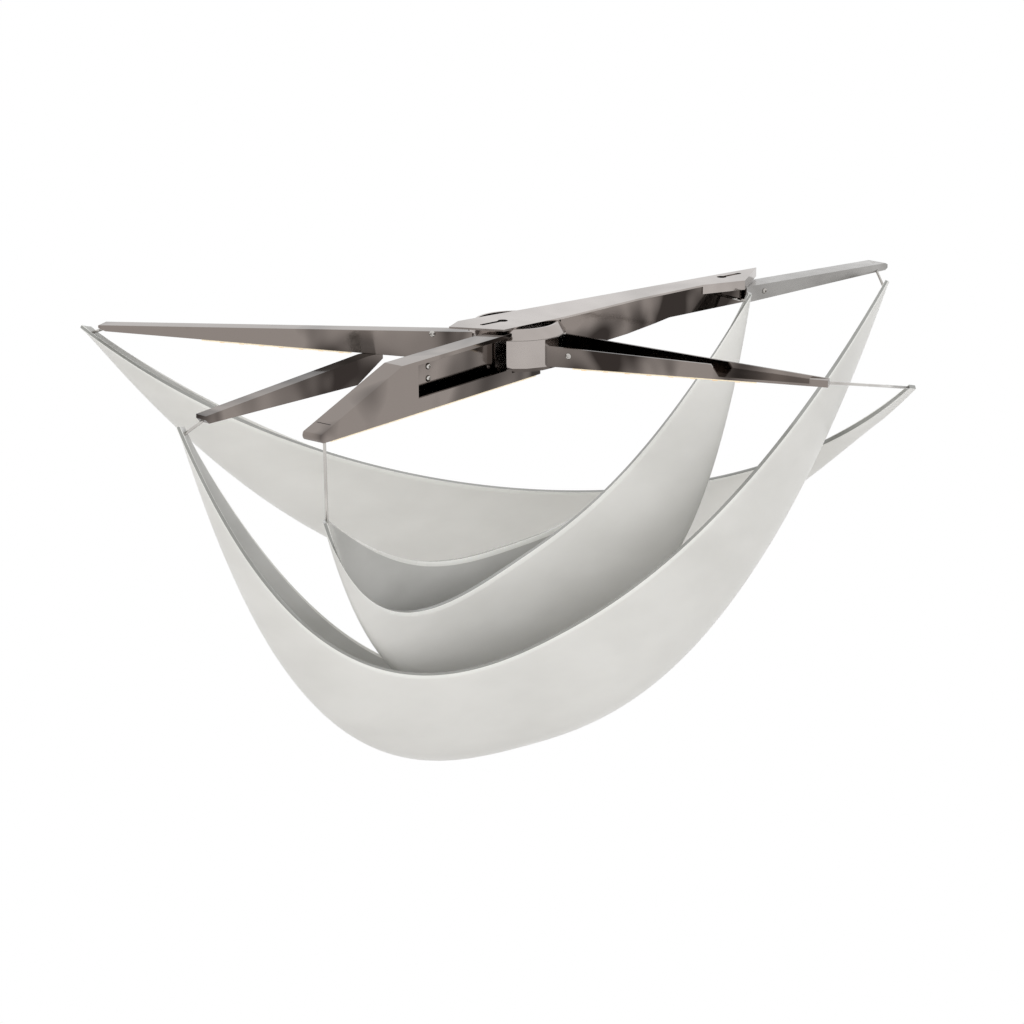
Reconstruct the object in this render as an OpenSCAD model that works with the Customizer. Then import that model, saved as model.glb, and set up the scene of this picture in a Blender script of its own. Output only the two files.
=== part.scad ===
// Flush mount ceiling light: a folded steel frame of five tapering arms around a faceted hub,
// with three bent glass troughs hung between the arm tips.
// The ceiling is the plane z = 0 and the hub axis is the Z axis; everything hangs below.
// The ceiling plate runs along X. Each arm is drawn along its own X axis and turned into place.

/* [Ceiling plate] */
// Thickness of the ceiling plate
plate_t = 2; // [1.5:0.5:4]
// Distance from the hub axis to the plate's left corner
plate_left = 75; // [65:1:90]
// Distance from the hub axis to the tip of the slanted right end
plate_right = 354; // [345:1:370]
// Half width of the plate over the hub
plate_hub_half = 30; // [28:1:40]
// Half width of the plate at its neck
plate_neck_half = 15; // [15:0.5:20]
// Distance from the hub axis to the neck, where the flare starts
plate_neck_x = 248; // [235:1:255]
// Distance from the hub axis to the flare's outer corner
plate_flare_x = 297; // [292:1:300]
// Half width of the flare at that corner
plate_flare_half = 29; // [24:1:34]
// Height of the turned-down flange round the flare
flange_h = 8; // [5:0.5:9]
// Radius of a keyhole's narrow part
key_r = 2.5; // [2:0.25:3.5]
// Radius of a keyhole's round end
key_head_r = 5; // [4:0.25:6]
// Length of a keyhole, end to end
key_len = 34; // [28:1:38]
// Distance between the two keyhole centres
key_pitch = 333; // [325:1:336]
// Distance from the hub axis to the left keyhole's centre
key_left = 30; // [28:1:34]

/* [Hub] */
// Radius of the faceted drum, to its corners
hub_r = 50; // [46:1:56]
// Number of flat sides of the drum
hub_sides = 16; // [14:2:18]
// Height of the drum
hub_h = 28; // [24:1:30]
// Height of the cap between the drum and the ceiling plate
cap_h = 10; // [9:1:14]
// How far the cap draws in toward the ceiling plate
cap_taper = 7; // [4:1:10]
// Thickness of the cover under the drum
cover_t = 4; // [3:0.5:6]
// Sheet thickness of the hub and the arms
sheet_t = 2.5; // [2:0.25:3]

/* [Spine] */
// Distance from the hub axis to the spine's outer end
spine_end = 310; // [308:1:316]
// Width of the spine
spine_w = 26; // [24:1:28]
// Depth of the spine beside the hub
spine_deep = 38; // [34:1:38]
// Depth of the spine's outer stretch
spine_shallow = 26; // [22:1:28]
// Distance from the hub axis to where the spine starts to deepen
spine_knee = 200; // [180:1:220]

/* [Left arm] */
// Direction of the left arm
left_turn = 119.8; // [116:0.1:123]
// Distance from the hub axis to the left arm's tip
left_len = 448; // [430:1:455]
// Width of the left arm
left_w = 18; // [16:1:20]
// Sideways distance from the hub axis to the left arm's centre line
left_side = 27; // [24:1:29]
// Depth of the left arm beside the hub
left_root_h = 33; // [30:1:35]
// Depth of the left arm at its tip
left_tip_h = 6; // [5:0.5:10]

/* [Right arm] */
// Direction of the right arm
right_turn = -58.3; // [-60:0.1:-56]
// Distance from the hub axis to the right arm's tip
right_len = 320; // [312:1:330]
// Sideways distance from the hub axis to the right arm's near wall
right_near = 28.5; // [27:0.5:31]
// Width of the right arm beside the hub
right_root_w = 50; // [46:1:54]
// Width of the right arm at its tip
right_tip_w = 9; // [8:0.5:14]
// Depth of the right arm's far wall beside the hub
right_root_h = 27; // [24:1:28]
// Depth of the right arm at its tip
right_tip_h = 7; // [6:0.5:10]
// Height of the near wall beside the hub
right_lip_h = 22; // [18:1:24]
// Length of the near wall
right_lip_len = 215; // [200:1:240]

/* [Front arm] */
// Direction of the front arm
front_turn = 190.7; // [188:0.1:192]
// Distance from the hub axis to the front arm's tip
front_len = 322; // [316:1:330]
// Sideways distance from the hub axis to the front arm's near face
front_near = 27.3; // [26:0.1:29]
// Width of the front arm
front_w = 22; // [20:1:24]
// How far the front arm hangs below the other arms
front_drop = 14; // [12:1:18]
// Distance from the hub axis to the top of the slanted end
front_top_x = 207; // [200:1:215]
// Distance from the hub axis to the outer end of the window
window_x = 184; // [175:1:190]
// Height of the bar below the window
window_sill = 14; // [12:1:18]
// Height of the strip above the window
window_head = 4; // [3:0.5:6]

/* [Rear arm] */
// Direction of the rear arm
rear_turn = 3.1; // [2.5:0.1:3.6]
// Distance from the hub axis to the rear arm's tip
rear_len = 552; // [540:1:560]
// Sideways distance from the hub axis to the rear arm's near face
rear_near = 36; // [34:0.5:37]
// Width of the rear arm
rear_w = 24; // [22:1:26]
// Depth of the rear arm at its root
rear_root_h = 17.5; // [15:0.5:17.5]
// Depth of the rear arm at its tip
rear_tip_h = 8; // [6:0.5:10]

/* [Side arm] */
// Direction of the side arm
side_turn = 186.3; // [184:0.1:188]
// Where the side arm's root lies under the left arm, across the plate
side_root_y = 109; // [106:1:112]
// Where the side arm's root lies under the left arm, along the plate
side_root_x = -90; // [-92:1:-88]
// Length of the side arm
side_len = 236; // [225:1:245]
// Width of the side arm
side_w = 14; // [12:1:16]
// Depth of the side arm near its root
side_root_h = 27; // [24:1:30]
// Depth of the side arm at its tip
side_tip_h = 8; // [6:0.5:12]

/* [Light strips] */
// Width of a light strip
strip_w = 9; // [7:0.5:10]
// Thickness of a light strip's board
strip_t = 1.5; // [1:0.25:2]
// Side of a light chip
chip_s = 5; // [4:0.5:6]
// Height of a light chip
chip_t = 1.2; // [0.8:0.2:2]
// Distance between the chips of the front strip
front_pitch = 38; // [30:1:44]
// Distance between the chips of the left and right strips
side_pitch = 22; // [18:1:30]

/* [Glass] */
// Thickness of the glass
glass_t = 7; // [6:0.5:7.5]
// Thickness of the glass at the tips, as a share of that
tip_thin = 0.6; // [0.5:0.05:0.7]
// Width of a trough at its tips
tip_w = 13; // [11:0.5:15]
// Radius of the pins that carry the glass
pin_r = 1.5; // [1.25:0.25:2]
// Play round a pin in its hole
pin_fit = 0.15; // [0.1:0.05:0.3]

/* [Upper trough] */
// Left tip
upper_left = [-254, 395, -40]; // [-600:1:600]
// Right tip
upper_right = [377, -197, -97]; // [-600:1:600]
// How far the near rim swings off the line between the tips
upper_near = [112, 2, -170]; // [-600:1:600]
// How far the keel swings off that line
upper_keel = [196, 6, -282]; // [-600:1:600]
// How far the far rim swings off that line
upper_far = [220, 19, -200]; // [-600:1:600]
// Fullness of the rims' bow
upper_rim_full = 2.02; // [2:0.01:3.5]
// Fullness of the keel's bow
upper_keel_full = 2.00; // [1.8:0.01:3.5]
// How the near rim's swing grows toward the right tip
upper_near_lean = [163, 102, -25]; // [-300:1:300]
// How the keel's swing grows toward the right tip
upper_keel_lean = [97, 63, 136]; // [-300:1:300]
// How the far rim's swing grows toward the right tip
upper_far_lean = [75, 16, 53]; // [-300:1:300]

/* [Middle trough] */
// Left tip
middle_left = [-288, -60, -138]; // [-600:1:600]
// Right tip
middle_right = [295, -38, -12]; // [-600:1:600]
// How far the near rim swings off the line between the tips
middle_near = [-37, 14, -165]; // [-600:1:600]
// How far the keel swings off that line
middle_keel = [13, 23, -284]; // [-600:1:600]
// How far the far rim swings off that line
middle_far = [2, 62, -166]; // [-600:1:600]
// Fullness of the rims' bow
middle_rim_full = 2.85; // [2:0.01:3.5]
// Fullness of the keel's bow
middle_keel_full = 3.40; // [2:0.01:3.5]
// How the near rim's swing grows toward the right tip
middle_near_lean = [-19, -25, 32]; // [-300:1:300]
// How the keel's swing grows toward the right tip
middle_keel_lean = [-46, -74, 3]; // [-300:1:300]
// How the far rim's swing grows toward the right tip
middle_far_lean = [-47, -31, -41]; // [-300:1:300]

/* [Lower trough] */
// Left tip
lower_left = [-341, 94, -70]; // [-600:1:600]
// Right tip
lower_right = [528, -28, -34]; // [-600:1:600]
// How far the near rim swings off the line between the tips
lower_near = [-130, -135, -247]; // [-600:1:600]
// How far the keel swings off that line
lower_keel = [-138, -89, -376]; // [-600:1:600]
// How far the far rim swings off that line
lower_far = [4, -38, -297]; // [-600:1:600]
// Fullness of the rims' bow
lower_rim_full = 2.24; // [2:0.01:3.5]
// Fullness of the keel's bow
lower_keel_full = 2.64; // [2:0.01:3.5]
// How the near rim's swing grows toward the right tip
lower_near_lean = [-30, -59, 130]; // [-300:1:300]
// How the keel's swing grows toward the right tip
lower_keel_lean = [-94, -102, 43]; // [-300:1:300]
// How the far rim's swing grows toward the right tip
lower_far_lean = [-15, -23, 144]; // [-300:1:300]

/* [Hidden] */
$fn = 48;
// A cut runs this far past the face it opens
past = 1;
// Pin holes in the glass are drawn with this many sides
hole_sides = 24;
frame_col = [0.62, 0.58, 0.55];
dark_col = [0.3, 0.26, 0.24];
glass_col = [0.93, 0.93, 0.91, 0.9];
led_col = [1, 0.93, 0.75];

hub_top_z = -plate_t;
drum_top_z = hub_top_z - cap_h;
// The arms' undersides and the drum's underside share this height
arm_z = drum_top_z - hub_h;

// The drum turns one flat side to the near left
hub_turn = 229;

// Seats for the screws: distance along the arm and height above the arms' underside
screw_r = 3.2;
screw_head_h = 1.8;
left_screw = [76, 26];
right_screw = [62, 12];
rear_screw = [338, 8.5];
front_screws = [[150, 22], [150, 10]];
cover_screw_ring = 34;
cover_screw_turns = [75, 165, 345];
// The cover lies this far inside the drum's outline
cover_inset = 3;

// Length steps and cross steps of a glass trough
along_n = 54;
across_n = 10;

// Bow of a curve at t from 0 to 1, with its fullness
function bow(t, full) = 1 - pow(abs(2 * t - 1), full);

// A glass trough: tips, the three swings with their leans, fullness of rims and keel
function trough(l, r, near, keel, far, rim_full, keel_full) = [l, r, near, keel, far, rim_full, keel_full];

upper = trough(upper_left, upper_right, [upper_near, upper_near_lean], [upper_keel, upper_keel_lean],
    [upper_far, upper_far_lean], upper_rim_full, upper_keel_full);
middle = trough(middle_left, middle_right, [middle_near, middle_near_lean], [middle_keel, middle_keel_lean],
    [middle_far, middle_far_lean], middle_rim_full, middle_keel_full);
lower = trough(lower_left, lower_right, [lower_near, lower_near_lean], [lower_keel, lower_keel_lean],
    [lower_far, lower_far_lean], lower_rim_full, lower_keel_full);

function unit(v) = v / norm(v);

// A swing at t, with its lean toward the right tip
function swung(swing, t) = swing[0] + (2 * t - 1) * swing[1];

// Point on the middle of the glass: t runs along the trough and s across it,
// from the near rim at 0 over the keel at 1/2 to the far rim at 1
function glass_point(g, t, s) =
    let (
        chord = g[0] + t * (g[1] - g[0]),
        side = unit(g[4][0] - g[2][0]) * tip_w / 2,
        rim_bow = bow(t, g[5]),
        near = swung(g[2], t) * rim_bow - side * (1 - rim_bow),
        keel = swung(g[3], t) * bow(t, g[6]),
        far = swung(g[4], t) * rim_bow + side * (1 - rim_bow)
    )
    chord + 2 * (s - 0.5) * (s - 1) * near + 4 * s * (1 - s) * keel + 2 * s * (s - 0.5) * far;

// Unit normal of the glass there; it points into the trough
function glass_normal(g, t, s) =
    let (
        d = 0.002,
        run = glass_point(g, min(1, t + d), s) - glass_point(g, max(0, t - d), s),
        rise = glass_point(g, t, min(1, s + d)) - glass_point(g, t, max(0, s - d))
    )
    unit(cross(run, rise));

// Half the thickness of the glass at t; it grows from the tips to full over the end stretches
function half_glass(t) = glass_t / 2 * (tip_thin + (1 - tip_thin) * min(1, 2 * bow(t, 2)));

// The steps along a trough are closer together near its tips
function eased(i) = (1 - cos(180 * i / along_n)) / 2;

// One skin of the glass, as rows of points across the trough; face is 1 inside and -1 outside
function glass_skin(g, face) = [
    for (i = [0 : along_n])
    for (j = [0 : across_n])
    let (t = 0.3 * i / along_n + 0.7 * eased(i), s = j / across_n)
    glass_point(g, t, s) + face * half_glass(t) * glass_normal(g, t, s)
];

// A trough is two skins joined along the rims and at the tips
module glass_trough(g) {
    row = across_n + 1;
    count = row * (along_n + 1);
    inside = [for (i = [0 : along_n - 1]) for (j = [0 : across_n - 1])
        let (a = i * row + j) each [[a, a + row, a + 1], [a + 1, a + row, a + row + 1]]];
    outside = [for (f = inside) [f[0] + count, f[2] + count, f[1] + count]];
    near_rim = [for (i = [0 : along_n - 1])
        let (a = i * row, b = a + row) each [[a, a + count, b], [b, a + count, b + count]]];
    far_rim = [for (i = [0 : along_n - 1])
        let (a = i * row + across_n, b = a + row) each [[a, b, a + count], [b, b + count, a + count]]];
    last = along_n * row;
    left_tip = [for (j = [0 : across_n - 1]) each [[j, j + 1, j + count], [j + 1, j + 1 + count, j + count]]];
    right_tip = [for (j = [0 : across_n - 1])
        let (a = last + j) each [[a, a + count, a + 1], [a + 1, a + count, a + 1 + count]]];
    polyhedron(
        points = concat(glass_skin(g, 1), glass_skin(g, -1)),
        faces = concat(inside, outside, near_rim, far_rim, left_tip, right_tip)
    );
}

// A side profile in X and Z, thick from y0 to y1
module slab(points, y0, y1) {
    rotate([90, 0, 0])
        translate([0, 0, -y1])
            linear_extrude(y1 - y0)
                polygon(points);
}

// A strip of the plan between a and b, t wide on its left
function edge_strip(a, b, t) =
    let (d = unit(b - a), n = [-d[1], d[0]])
    [a, b, b + n * t, a + n * t];

// A round bar between two points
module bar(a, b, r) {
    d = b - a;
    translate(a)
        rotate([0, acos(d[2] / norm(d)), atan2(d[1], d[0])])
            cylinder(r = r, h = norm(d));
}

// Corners of the drum's outline, with a flat side square to the view from the near left
function drum_outline(r) = [
    for (i = [0 : hub_sides - 1])
    let (a = hub_turn + 360 * (i + 0.5) / hub_sides)
    [r * cos(a), r * sin(a)]
];

// A prism on the drum's outline
module drum_prism(r, z, h) {
    translate([0, 0, z])
        linear_extrude(h)
            polygon(drum_outline(r));
}

// The room that the hub takes from whatever reaches it
module hub_room() {
    drum_prism(hub_r, arm_z, hub_h + cap_h);
}

// Height of a straight line through (x0, h0) and (x1, h1)
function level(x, x0, h0, x1, h1) = h0 + (h1 - h0) * (x - x0) / (x1 - x0);

// A point given along and across an arm, and above the arms' underside
function at_arm(turn, along, across, up) = [
    along * cos(turn) - across * sin(turn),
    along * sin(turn) + across * cos(turn),
    arm_z + up
];

// A screw head with its base on the origin and its crown up
module screw_head() {
    cylinder(r1 = screw_r, r2 = screw_r * 0.65, h = screw_head_h);
}

// A screw on an arm's face; way is 1 where that face looks to the arm's left
module face_screw(turn, along, face, up, way) {
    translate(at_arm(turn, along, face, up))
        rotate([0, 0, turn])
            rotate([-90 * way, 0, 0])
                screw_head();
}

// Frame sheets

plate_tip = [plate_right, plate_neck_half * 0.6];
plate_corner = [plate_flare_x, -plate_flare_half];
// The plate's left end is cut to a point; its two other corners lie at these shares of its reach
near_corner = 0.57;
far_corner = 0.7;
// The near edge is straight to here, as a share of the hub's radius, and then draws in to the waist
near_edge = 0.7;
waist = 0.62;
edge_ease = 2;
plate_outline = [
    [-plate_left, plate_neck_half],
    [-plate_left * near_corner, -plate_hub_half],
    [hub_r * near_edge, -plate_hub_half + edge_ease],
    [plate_neck_x * waist, -plate_neck_half - edge_ease],
    [plate_neck_x, -plate_neck_half],
    plate_corner,
    plate_tip,
    [-plate_left * far_corner, plate_hub_half - edge_ease]
];

// A slot through the plate, along it and centred on the origin
module keyhole() {
    straight = key_len - 2 * key_r;
    deep = plate_t + 2 * past;
    for (end = [-straight / 2, straight / 2])
        translate([end, 0, 0])
            cylinder(r = key_r, h = deep);
    translate([-straight / 2, -key_r, 0])
        cube([straight, 2 * key_r, deep]);
}

module ceiling_plate() {
    color(frame_col)
        difference() {
            union() {
                translate([0, 0, -plate_t])
                    linear_extrude(plate_t)
                        polygon(plate_outline);
                translate([0, 0, -plate_t - flange_h])
                    linear_extrude(flange_h)
                        polygon(edge_strip([plate_neck_x, -plate_neck_half], plate_corner, plate_t));
                translate([0, 0, -plate_t - flange_h])
                    linear_extrude(flange_h)
                        polygon(edge_strip(plate_corner, plate_tip, plate_t));
            }
            for (side = [[-key_left, 1], [key_pitch - key_left, -1]]) {
                translate([side[0], 0, -plate_t - past])
                    keyhole();
                translate([side[0] + side[1] * (key_len / 2 - key_head_r), 0, -plate_t - past])
                    cylinder(r = key_head_r, h = plate_t + 2 * past);
            }
        }
}

// The spine's lower edge rises over these shares of the way to its knee
rise_start = 0.45;
rise_mid = 0.7;
rise_late = 0.9;
// Its centre line lies this far to the near side of the hub axis
spine_shift = 1;
spine_near = -spine_w / 2 - spine_shift;
spine_far = spine_w / 2 - spine_shift;

// Side profile of the spine, raised by inset
function spine_profile(inset) =
    let (
        top = hub_top_z + inset,
        deep = top - spine_deep,
        shallow = top - spine_shallow
    )
    [
        [0, top],
        [0, deep],
        [spine_knee * rise_start, deep],
        [spine_knee * rise_mid, deep + (shallow - deep) / 3],
        [spine_knee * rise_late, shallow - (shallow - deep) / 4],
        [spine_knee, shallow],
        [spine_end, shallow],
        [spine_end, top]
    ];

module spine_channel() {
    color(dark_col)
        difference() {
            slab(spine_profile(0), spine_near, spine_far);
            slab(spine_profile(sheet_t), spine_near + sheet_t, spine_far - sheet_t);
            hub_room();
            glass_pins_at(pin_fit);
        }
}

module hub_housing() {
    color(frame_col)
        difference() {
            drum_prism(hub_r, arm_z, hub_h);
            drum_prism(hub_r - sheet_t, arm_z - past, hub_h + 2 * past);
        }
}

module hub_cap() {
    base_r = hub_r * cos(180 / hub_sides);
    top_r = base_r - cap_taper;
    color(frame_col)
        translate([0, 0, drum_top_z])
            difference() {
                cylinder(r1 = base_r, r2 = top_r, h = cap_h);
                translate([0, 0, -past])
                    cylinder(r = top_r - sheet_t, h = cap_h + 2 * past);
            }
}

module hub_cover() {
    color(dark_col)
        drum_prism(hub_r - cover_inset, arm_z - cover_t, cover_t);
}

// Arms

module arm_left() {
    tip_block = 22;
    tip_cut = 8;
    near = left_side + left_w / 2;
    far = left_side - left_w / 2;
    inner_x = left_len - tip_block;
    inner_h = level(inner_x, 0, left_root_h, left_len, left_tip_h);
    color(dark_col)
        difference() {
            translate([0, 0, arm_z])
                rotate([0, 0, left_turn])
                    difference() {
                        slab([[0, 0], [left_len - tip_cut, 0], [left_len, left_tip_h / 2], [left_len, left_tip_h],
                            [0, left_root_h]], far, near);
                        slab([[-past, sheet_t], [inner_x, sheet_t], [inner_x, inner_h - sheet_t],
                            [-past, left_root_h - sheet_t]], far + sheet_t, near - sheet_t);
                    }
            hub_room();
            glass_pins_at(pin_fit);
        }
}

module arm_right() {
    near = -right_near;
    far = near + right_root_w;
    tip_block = 18;
    lip_cut = 10;
    lip_end_h = right_lip_h * 0.65;
    color(dark_col)
        difference() {
            translate([0, 0, arm_z])
                rotate([0, 0, right_turn]) {
                    linear_extrude(sheet_t)
                        polygon([[0, near], [right_len, near], [right_len, near + right_tip_w], [0, far]]);
                    slab([[0, 0], [right_lip_len, 0], [right_lip_len - lip_cut, lip_end_h], [0, right_lip_h]],
                        near, near + sheet_t);
                    intersection() {
                        linear_extrude(right_root_h)
                            polygon([[0, far - sheet_t], [right_len, near + right_tip_w - sheet_t],
                                [right_len, near + right_tip_w], [0, far]]);
                        slab([[0, 0], [right_len, 0], [right_len, right_tip_h], [0, right_root_h]], near, far);
                    }
                    translate([right_len - tip_block, near, 0])
                        cube([tip_block, right_tip_w, right_tip_h]);
                }
            hub_room();
            glass_pins_at(pin_fit);
        }
}

// The front arm's root lies this far inside the hub's radius
front_root_x = hub_r - 8;
// Its upper edge, above the arms' underside
front_top = hub_h + cap_h - plate_t;

// Outline of the front arm, drawn in by inset; its tip is rounded
function front_profile(inset) =
    let (
        tip_r = 5,
        low = -front_drop + inset,
        high = front_top - inset,
        tip_x = front_len - tip_r - 2 * inset
    )
    [
        [front_root_x, low],
        for (a = [-90 : 15 : 45]) [tip_x + (tip_r - inset / 2) * cos(a), low + tip_r + tip_r * sin(a)],
        [front_top_x - 1.2 * inset, high],
        [front_root_x, high]
    ];

module arm_front() {
    far = front_near - front_w;
    // The part under the drum ends past the hub axis and stays below the cover
    tail_x = -4;
    tail_top = -cover_t;
    tip_block = 45;
    sill = window_sill - front_drop;
    head = front_top - window_head;
    color(dark_col)
        difference() {
            translate([0, 0, arm_z])
                rotate([0, 0, front_turn]) {
                    difference() {
                        slab(front_profile(0), far, front_near);
                        difference() {
                            slab(front_profile(sheet_t), far + sheet_t, front_near - sheet_t);
                            translate([front_len - tip_block, far, -front_drop])
                                cube([tip_block, front_w, front_drop]);
                        }
                        slab([[0, sill], [window_x, sill], [window_x, head], [0, head]],
                            front_near - sheet_t - past, front_near + past);
                    }
                    slab([[tail_x, -front_drop], [front_root_x, -front_drop], [front_root_x, tail_top],
                        [tail_x, tail_top]], far, front_near);
                }
            hub_room();
            glass_pins_at(pin_fit);
        }
}

// The light sheet that stands behind the window
module window_plate() {
    far = front_near - front_w + sheet_t;
    low = sheet_t - front_drop;
    high = front_top - sheet_t;
    start = hub_r + 2;
    end = window_x + 8;
    color(frame_col)
        translate([0, 0, arm_z])
            rotate([0, 0, front_turn])
                slab([[start, low], [end, low], [end, high], [start, high]], far, far + sheet_t);
}

module arm_rear() {
    near = -rear_near;
    far = near + rear_w;
    low = hub_h + cap_h - spine_shallow;
    tip_block = 24;
    tip_cut = 4;
    lap = 20;
    root_x = spine_end - lap;
    inner_x = rear_len - tip_block;
    inner_h = level(inner_x, spine_end, rear_root_h, rear_len, rear_tip_h);
    color([0.75, 0.74, 0.72])
        difference() {
            translate([0, 0, arm_z + low])
                rotate([0, 0, rear_turn])
                    difference() {
                        slab([[root_x, 0], [rear_len - tip_cut, 0], [rear_len, tip_cut / 2],
                            [rear_len, rear_tip_h - tip_cut / 2], [rear_len - tip_cut, rear_tip_h],
                            [spine_end, rear_root_h], [root_x, rear_root_h]],
                            near, far);
                        slab([[root_x - past, sheet_t], [inner_x, sheet_t], [inner_x, inner_h - sheet_t],
                            [spine_end, rear_root_h - sheet_t], [root_x - past, rear_root_h - sheet_t]],
                            near + sheet_t, far - sheet_t);
                    }
            // The root is cut square where the spine ends
            translate([spine_end - 2 * lap, 2 * near, arm_z - past])
                cube([2 * lap, -4 * near, hub_h + cap_h]);
            glass_pins_at(pin_fit);
        }
}

module arm_side() {
    half = side_w / 2;
    low = -side_root_h;
    tip_block = 24;
    tip_cut = 4;
    // The root falls steeply from the left arm's underside to the knee
    root_low = -6;
    knee_low_x = 36;
    knee_top_x = 22;
    inner_x = side_len - tip_block;
    inner_top = level(inner_x, knee_top_x, 0, side_len, low + side_tip_h) - 1.5 * sheet_t;
    color(dark_col)
        difference() {
            translate([side_root_x, side_root_y, arm_z])
                rotate([0, 0, side_turn])
                    difference() {
                        slab([[0, 0], [0, root_low], [knee_low_x, low], [side_len - tip_cut, low],
                            [side_len, low + tip_cut], [side_len, low + side_tip_h], [knee_top_x, 0]],
                            -half, half);
                        slab([[knee_low_x - sheet_t, -3 * sheet_t], [knee_low_x + 2 * sheet_t, low + sheet_t],
                            [inner_x, low + sheet_t], [inner_x, inner_top]],
                            -half + sheet_t, half - sheet_t);
                    }
            glass_pins_at(pin_fit);
        }
}

// Light strips

left_strip = [165, 330];
right_strip = [66, 250];
front_strip = [2, 306];
// Each strip lies this far inside its arm's near face
strip_margin = 1;
left_strip_y = left_side + left_w / 2 - strip_w / 2 - strip_margin;
front_strip_y = front_near - strip_w / 2 - strip_margin;
right_strip_y = -right_near + strip_w / 2 + strip_margin;

// A light strip's board under an arm
module strip(turn, ends, across, up) {
    color([0.95, 0.94, 0.9])
        translate([0, 0, arm_z + up])
            rotate([0, 0, turn])
                translate([ends[0], across - strip_w / 2, -strip_t])
                    cube([ends[1] - ends[0], strip_w, strip_t]);
}

module strip_left() {
    strip(left_turn, left_strip, left_strip_y, 0);
}

module strip_right() {
    strip(right_turn, right_strip, right_strip_y, 0);
}

module strip_front() {
    strip(front_turn, front_strip, front_strip_y, -front_drop);
}

// The chips of one strip
module chips(turn, ends, across, up, pitch) {
    color(led_col)
        translate([0, 0, arm_z + up - strip_t])
            rotate([0, 0, turn])
                for (x = [ends[0] + pitch / 2 : pitch : ends[1] - chip_s])
                    translate([x - chip_s / 2, across - chip_s / 2, -chip_t])
                        cube([chip_s, chip_s, chip_t]);
}

module light_chips() {
    chips(left_turn, left_strip, left_strip_y, 0, side_pitch);
    chips(right_turn, right_strip, right_strip_y, 0, side_pitch);
    chips(front_turn, front_strip, front_strip_y, -front_drop, front_pitch);
}

// Glass and its pins

// Each pin runs from a point in an arm's tip to the middle of a trough's end, this share along it
pin_t = 0.004;
// How far back from its arm's tip each pin starts
left_pin_back = 8;
right_pin_back = 9;
front_pin = [14, 8, 6];
spine_pin = [22, 9];
rear_pin = [12, 20];
pins = [
    [at_arm(left_turn, left_len - left_pin_back, left_side, left_tip_h / 2), glass_point(upper, pin_t, 0.5)],
    [at_arm(right_turn, right_len - right_pin_back, -right_near + right_tip_w / 2, right_tip_h / 2),
        glass_point(upper, 1 - pin_t, 0.5)],
    [at_arm(front_turn, front_len - front_pin[0], front_near - front_pin[1], -front_drop + front_pin[2]),
        glass_point(middle, pin_t, 0.5)],
    [[spine_end - spine_pin[0], spine_near + sheet_t / 2, -plate_t - flange_h - spine_pin[1]],
        glass_point(middle, 1 - pin_t, 0.5)],
    [side_tip(left_pin_back), glass_point(lower, pin_t, 0.5)],
    [at_arm(rear_turn, rear_len - rear_pin[0], -rear_near + rear_w / 2, rear_pin[1]),
        glass_point(lower, 1 - pin_t, 0.5)]
];

// A point in the side arm's tip, back from its end
function side_tip(back) = [
    side_root_x + (side_len - back) * cos(side_turn),
    side_root_y + (side_len - back) * sin(side_turn),
    arm_z - side_root_h + side_tip_h / 2
];

module glass_pins_at(grow) {
    for (p = pins)
        bar(p[0] - grow * unit(p[1] - p[0]), p[1] + grow * unit(p[1] - p[0]), pin_r + grow);
}

module glass_pins() {
    color(frame_col)
        glass_pins_at(0);
}

// A trough with its pin holes
module drilled(g) {
    color(glass_col)
        difference() {
            glass_trough(g);
            glass_pins_at(pin_fit, $fn = hole_sides);
        }
}

module glass_upper() {
    drilled(upper);
}

module glass_middle() {
    drilled(middle);
}

module glass_lower() {
    drilled(lower);
}

// Screws

module arm_screws() {
    color(frame_col) {
        face_screw(left_turn, left_screw[0], left_side + left_w / 2, left_screw[1], 1);
        face_screw(right_turn, right_screw[0], -right_near, right_screw[1], -1);
        face_screw(rear_turn, rear_screw[0], -rear_near, hub_h + cap_h - spine_shallow + rear_screw[1], -1);
    }
}

module window_screws() {
    color(frame_col)
        for (s = front_screws)
            face_screw(front_turn, s[0], front_near - front_w + 2 * sheet_t, s[1], 1);
}

module cover_screws() {
    color(frame_col)
        for (a = cover_screw_turns)
            rotate([0, 0, a])
                translate([cover_screw_ring, 0, arm_z - cover_t])
                    mirror([0, 0, 1])
                        screw_head();
}

ceiling_plate();
spine_channel();
hub_housing();
hub_cap();
hub_cover();
arm_left();
arm_right();
arm_front();
window_plate();
arm_rear();
arm_side();
strip_left();
strip_right();
strip_front();
light_chips();
glass_upper();
glass_middle();
glass_lower();
glass_pins();
arm_screws();
window_screws();
cover_screws();
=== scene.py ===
"""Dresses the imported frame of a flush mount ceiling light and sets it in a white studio.

The light is a folded nickel frame: a faceted hub under a long ceiling plate, five tapering arms,
light strips under three of them, and three bent glass troughs hung between the arm tips.
All places are in the part's own frame, with the ceiling at z = 0. The sizes of troughs, strips
and screw seats are written in millimetres and turned into metres by MM; the rest is in metres.
"""
import logging
import math
from dataclasses import dataclass, field
from enum import Enum
from typing import Callable, Sequence

import bmesh
import bpy
import numpy as np
from mathutils import Matrix, Vector


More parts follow.
